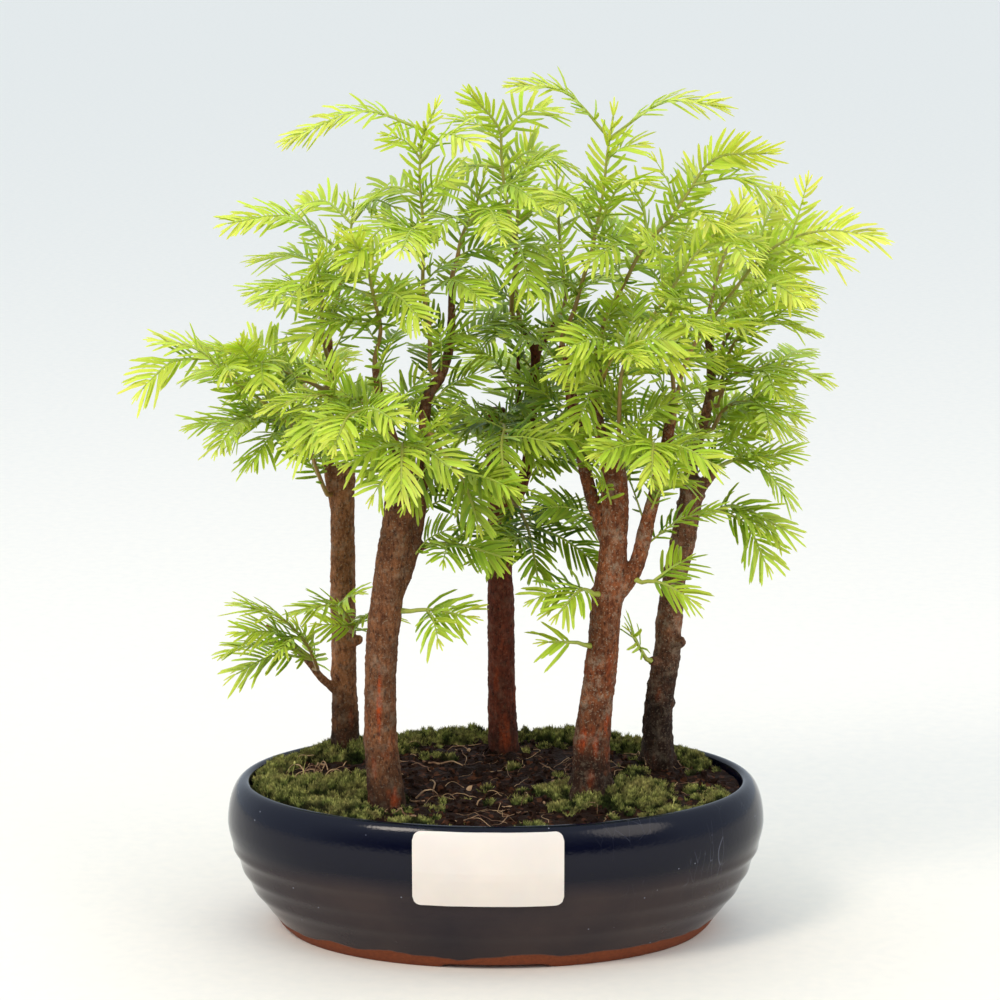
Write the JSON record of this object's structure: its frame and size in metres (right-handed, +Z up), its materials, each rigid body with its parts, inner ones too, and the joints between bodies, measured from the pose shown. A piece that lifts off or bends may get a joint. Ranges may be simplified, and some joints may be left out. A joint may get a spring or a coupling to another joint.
{
  "type": "dawn redwood bonsai forest",
  "caption": "Bonsai group of dawn redwoods with feathery green shoots, standing in moss and soil in an oval dark-glazed tray with a blank paper label on its front.",
  "frame": {"origin": "middle of the whole planting in plan, on the surface that the tray stands on", "axes": "+Z up along the trunks, -Y towards the labelled front, +X to the right of someone facing the label"},
  "size_m": [0.253, 0.1731, 0.2963],
  "materials": {
    "glazed_stoneware": "gloss",
    "label_paper": "matte",
    "screen_plastic": "matte",
    "potting_soil": "matte",
    "moss": "matte",
    "bark_a": "matte",
    "bark_b": "matte",
    "bark_c": "matte",
    "bark_d": "matte",
    "bark_e": "matte",
    "needles": "satin"
  },
  "bodies": {
    "root": {"pot": "glazed_stoneware", "pot_label": "label_paper", "drain_screen_left": "screen_plastic", "drain_screen_right": "screen_plastic", "soil": "potting_soil", "moss_left": "moss", "moss_a": "moss", "moss_back": "moss", "moss_right": "moss", "moss_d": "moss", "trunk_a": "bark_a", "trunk_b": "bark_b", "trunk_c": "bark_c", "trunk_d": "bark_d", "trunk_e": "bark_e", "shoot_a1": "needles", "shoot_a2": "needles", "shoot_a3": "needles", "shoot_a4": "needles", "shoot_a5": "needles", "shoot_a6": "needles", "shoot_a7": "needles", "shoot_a8": "needles", "shoot_b1": "needles", "shoot_b2": "needles", "shoot_b3": "needles", "shoot_b4": "needles", "shoot_b5": "needles", "shoot_b6": "needles", "shoot_b7": "needles", "shoot_b8": "needles", "shoot_b9": "needles", "shoot_c1": "needles", "shoot_c2": "needles", "shoot_c3": "needles", "shoot_c4": "needles", "shoot_c5": "needles", "shoot_c6": "needles", "shoot_c7": "needles", "shoot_c8": "needles", "shoot_d1": "needles", "shoot_d2": "needles", "shoot_d3": "needles", "shoot_d4": "needles", "shoot_d5": "needles", "shoot_d6": "needles", "shoot_d7": "needles", "shoot_d8": "needles", "shoot_d9": "needles", "shoot_d10": "needles", "shoot_e1": "needles", "shoot_e2": "needles", "shoot_e3": "needles", "shoot_e4": "needles", "shoot_e5": "needles", "shoot_e6": "needles", "shoot_e7": "needles", "shoot_e8": "needles", "shoot_e9": "needles", "shoot_e10": "needles"}
  },
  "joints": []
}
